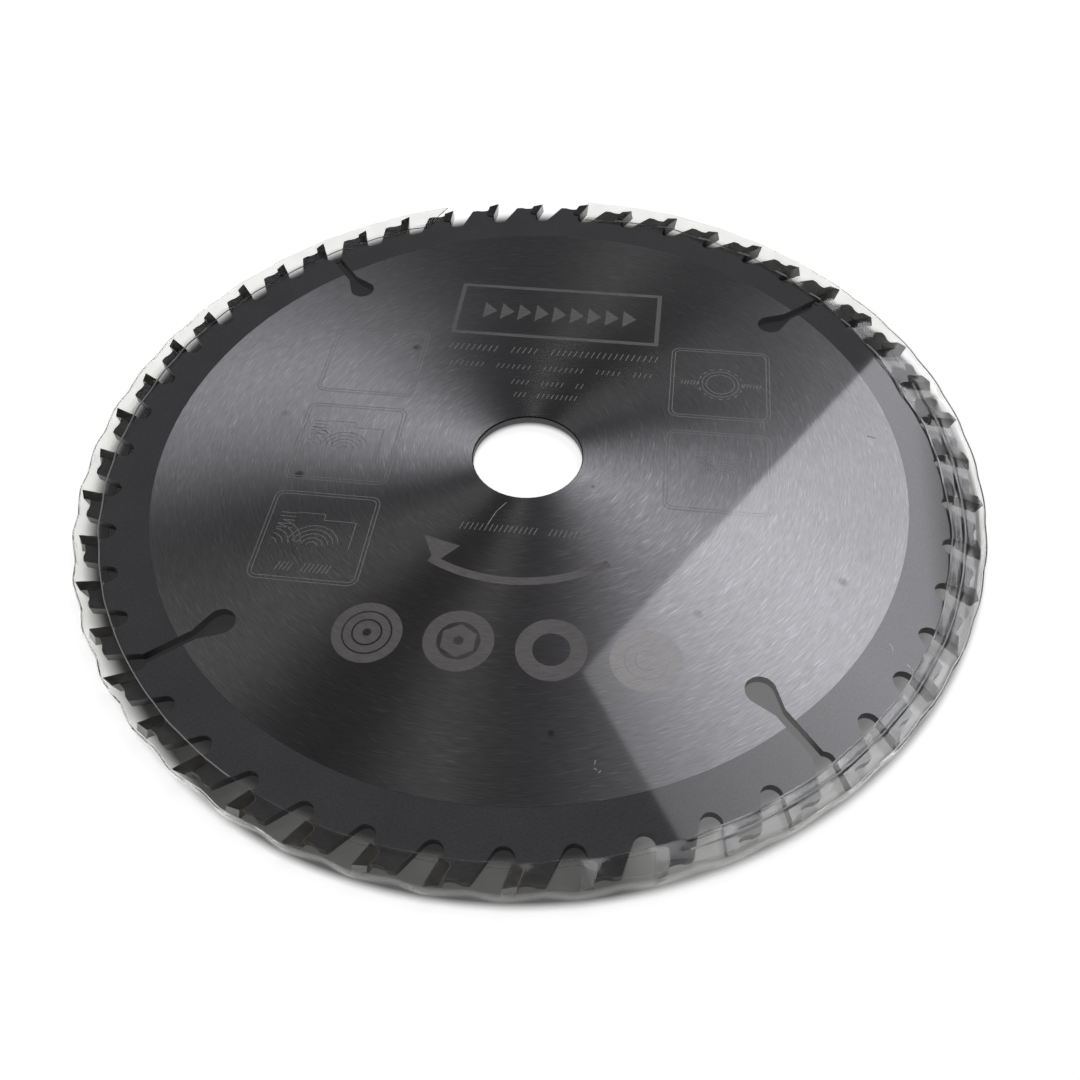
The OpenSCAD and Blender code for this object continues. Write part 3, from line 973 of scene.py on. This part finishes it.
class SAWBLADE_OT_set_stage(bpy.types.Operator):
    """Set the pale floor, the dim room with its one big window, and the camera"""
    bl_idname = "sawblade.set_stage"
    bl_label = "Set Stage"

    def execute(self, context):
        settings = context.scene.blade_stage
        clear_selection()
        bpy.ops.mesh.primitive_plane_add(size=6.0, location=(0, 0, guard_low.z))
        floor = context.object
        floor.name = "floor"
        apply_place(floor)
        floor.data.materials.append(self.floor_finish(settings))
        self.room(context.scene, settings)
        self.window(settings)
        self.weak_panels(settings)
        self.camera(context)
        return {"FINISHED"}

    def towards(self, tree, across, ahead, angle):
        """How nearly a place on the floor lies in a direction: 1 in it, and -1 opposite."""
        turn = math.radians(angle)
        return calc(tree, "ADD", calc(tree, "MULTIPLY", across, math.cos(turn)),
                    calc(tree, "MULTIPLY", ahead, math.sin(turn)))

    def floor_finish(self, settings):
        """Pale floor: near white for the camera and for mirrored rays, with a painted shadow under the plate
        that is painted lighter towards the window and at the front.
        """
        finish, tree, shader = new_finish("pale_floor_painted_shadow")
        shader.inputs["Roughness"].default_value = 0.9
        shader.inputs["Specular IOR Level"].default_value = 0.1
        path = tree.nodes.new("ShaderNodeLightPath")
        seen = calc(tree, "ADD", path.outputs["Is Camera Ray"],
                    calc(tree, "ADD", path.outputs["Is Glossy Ray"], path.outputs["Is Transmission Ray"]),
                    clamp=True)
        radius, across, ahead = polar(tree)
        nearer = self.towards(tree, across, ahead, -50)
        front = spread(tree, nearer, -0.1, 0.45, 0.0, 1.0, smooth=True)
        # Painted shadow: the floor is dark under the plate and pale past the rim, and the pale starts further
        # out at the front.
        rim = spread(tree, radius, spread(tree, front, 0.0, 1.0, 76.6 * MM, 79.6 * MM),
                     spread(tree, front, 0.0, 1.0, 81.0 * MM, 81.6 * MM), 0.0, 1.0, smooth=True)
        # Painted light: at the front the floor under the strip's lip is lifted a little, for the plastic's
        # reflection there.
        glow = calc(tree, "MULTIPLY", front,
                    spread(tree, radius, 73.5 * MM, 75.5 * MM, 0.0, 0.085, smooth=True))
        rim = calc(tree, "MAXIMUM", rim, glow)
        bore = spread(tree, radius, 9.6 * MM, 11.5 * MM, 1.0, 0.0, smooth=True)
        outside_painted_shadow = calc(tree, "MAXIMUM", rim, bore)
        pale = tuple(settings.floor_colour)
        colour = blend_colour(tree, outside_painted_shadow, shaded(pale, 0.04), pale)
        feed(tree, shader.inputs["Base Color"], colour)
        shader.inputs["Emission Color"].default_value = (1.0, 1.0, 1.0, 1.0)
        # Painted light: the shaded floor under the plate is lighter towards the window, for the window's
        # reflection seen through the holes.
        wedge = self.towards(tree, across, ahead, -33)
        shade = spread(tree, wedge, math.cos(math.radians(50)), math.cos(math.radians(43)),
                       0.028, 0.17, smooth=True)
        light = calc(tree, "ADD", calc(tree, "MULTIPLY", outside_painted_shadow, 0.86),
                     calc(tree, "MULTIPLY", calc(tree, "SUBTRACT", 1.0, outside_painted_shadow), shade))
        feed(tree, shader.inputs["Emission Strength"], calc(tree, "MULTIPLY", seen, light))
        return finish

    def room(self, scene, settings):
        """A dim room overhead, and a pale band near the horizon that continues the floor."""
        room = bpy.data.worlds.new("room")
        scene.world = room
        room.use_nodes = True
        tree = room.node_tree
        tree.nodes.clear()
        output = tree.nodes.new("ShaderNodeOutputWorld")
        light = tree.nodes.new("ShaderNodeBackground")
        tree.links.new(light.outputs[0], output.inputs["Surface"])
        path = tree.nodes.new("ShaderNodeLightPath")
        way = tree.nodes.new("ShaderNodeTexCoord")
        split = tree.nodes.new("ShaderNodeSeparateXYZ")
        feed(tree, split.inputs[0], way.outputs["Generated"])
        band = spread(tree, split.outputs[2], 0.03, 0.08, 1.0, 0.0)
        through = calc(tree, "ADD", path.outputs["Is Glossy Ray"], path.outputs["Is Transmission Ray"],
                       clamp=True)
        seen = calc(tree, "MAXIMUM", path.outputs["Is Camera Ray"],
                    calc(tree, "MULTIPLY", through, band))
        level = settings.room_level
        colour = blend_colour(tree, seen, (level, level, level * 1.04), (1.0, 1.0, 1.0))
        feed(tree, light.inputs["Color"], colour)
        light.inputs["Strength"].default_value = 1.0

    def window(self, settings):
        """The soft panel to the far right, dimmer at both ends, whose corner the lacquered steel mirrors."""
        corner = Vector((0.0833, 0.9624, 1.6924))
        along = Vector((0.592, 0.256, -0.764)).normalized()
        beside = Vector((0.411, -0.912, 0.012)).normalized()
        beside = (beside - along * beside.dot(along)).normalized()
        width, height = 1.125, 0.6
        centre = corner + along * width / 2 + beside * height / 2
        lamp = self.panel("window", centre, along, beside, width, height, settings.window_level)
        lamp.data.color = (0.99, 0.985, 1.04)
        lamp.data.use_nodes = True
        tree = lamp.data.node_tree
        glow = next(node for node in tree.nodes if node.bl_idname == "ShaderNodeEmission")
        place = tree.nodes.new("ShaderNodeSeparateXYZ")
        feed(tree, place.inputs[0], tree.nodes.new("ShaderNodeNewGeometry").outputs["Parametric"])
        near = spread(tree, place.outputs[0], 0.0, 0.45, 0.4, 1.0)
        far = spread(tree, place.outputs[0], 0.45, 0.76, 1.0, 0.8)
        slant = calc(tree, "MULTIPLY_ADD", place.outputs[1], -0.385, place.outputs[0])
        end = spread(tree, slant, 0.44, 0.53, 1.0, 0.0)
        feed(tree, glow.inputs["Strength"], calc(tree, "MULTIPLY", near, calc(tree, "MULTIPLY", far, end)))

    def weak_panels(self, settings):
        """A weak panel at the far left and a small one overhead, for the steel's fainter fans."""
        for name, centre, width, height, level in (
                ("side_panel", Vector((-0.70, 0.20, 0.68)), 0.25, 0.5, settings.side_level),
                ("ceiling_panel", Vector((-0.215, 0.0, 0.98)), 0.1, 0.14, settings.ceiling_level)):
            along = centre.cross(Vector((0, 1, 0))).normalized()
            self.panel(name, centre, along, centre.normalized().cross(along), width, height, level)

    def panel(self, name, centre, along, beside, width, height, level):
        """A rectangular lamp that shines towards the blade from its centre point."""
        if along.cross(beside).dot(centre) < 0:
            beside = -beside
        clear_selection()
        bpy.ops.object.light_add(type="AREA")
        lamp = bpy.context.object
        lamp.name = name
        lamp.data.shape = "RECTANGLE"
        lamp.data.size = width
        lamp.data.size_y = height
        lamp.data.energy = level * math.pi * width * height
        turn = Matrix((along, beside, along.cross(beside))).transposed()
        lamp.matrix_world = Matrix.Translation(centre) @ turn.to_4x4()
        return lamp

    def camera(self, context):
        clear_selection()
        pitch, roll = math.radians(51.611), math.radians(1.679)
        right = Vector((math.cos(roll), -math.sin(roll) * math.sin(pitch), -math.sin(roll) * math.cos(pitch)))
        up = Vector((math.sin(roll), math.cos(roll) * math.sin(pitch), math.cos(roll) * math.cos(pitch)))
        back = right.cross(up)
        bpy.ops.object.camera_add()
        camera = context.object
        camera.name = "photo_camera"
        turn = Matrix((right, up, back)).transposed().to_4x4()
        camera.matrix_world = Matrix.Translation((0.0018, -0.1251, 0.1338)) @ turn
        camera.data.sensor_width = 36.0
        camera.data.lens = 33.19
        camera.data.clip_start = 0.005
        camera.data.clip_end = 50.0
        context.scene.camera = camera
        context.scene.view_settings.view_transform = "Standard"


class SAWBLADE_PT_panel(bpy.types.Panel):
    bl_idname = "SAWBLADE_PT_panel"
    bl_label = "Saw Blade"
    bl_space_type = "VIEW_3D"
    bl_region_type = "UI"
    bl_category = "Saw Blade"

    def draw(self, context):
        for operator in STEPS:
            self.layout.operator(operator.bl_idname)


STEPS = (SAWBLADE_OT_finish_steel, SAWBLADE_OT_etch_marks, SAWBLADE_OT_fit_guard, SAWBLADE_OT_set_stage)
SETTINGS = {"blade_finish": BladeFinish, "etched_marks": EtchedMarks, "tooth_guard": ToothGuard,
            "blade_stage": BladeStage}


def register():
    for group in SETTINGS.values():
        bpy.utils.register_class(group)
    for name, group in SETTINGS.items():
        setattr(bpy.types.Scene, name, bpy.props.PointerProperty(type=group))
    for operator in STEPS:
        bpy.utils.register_class(operator)
    bpy.utils.register_class(SAWBLADE_PT_panel)


def unregister():
    bpy.utils.unregister_class(SAWBLADE_PT_panel)
    for operator in reversed(STEPS):
        bpy.utils.unregister_class(operator)
    for name, group in SETTINGS.items():
        delattr(bpy.types.Scene, name)
        bpy.utils.unregister_class(group)


def main():
    register()
    bpy.ops.sawblade.finish_steel()
    bpy.ops.sawblade.etch_marks()
    bpy.ops.sawblade.fit_guard()
    bpy.ops.sawblade.set_stage()
    clear_selection()
    bpy.context.view_layer.update()


if __name__ == "__main__":
    main()
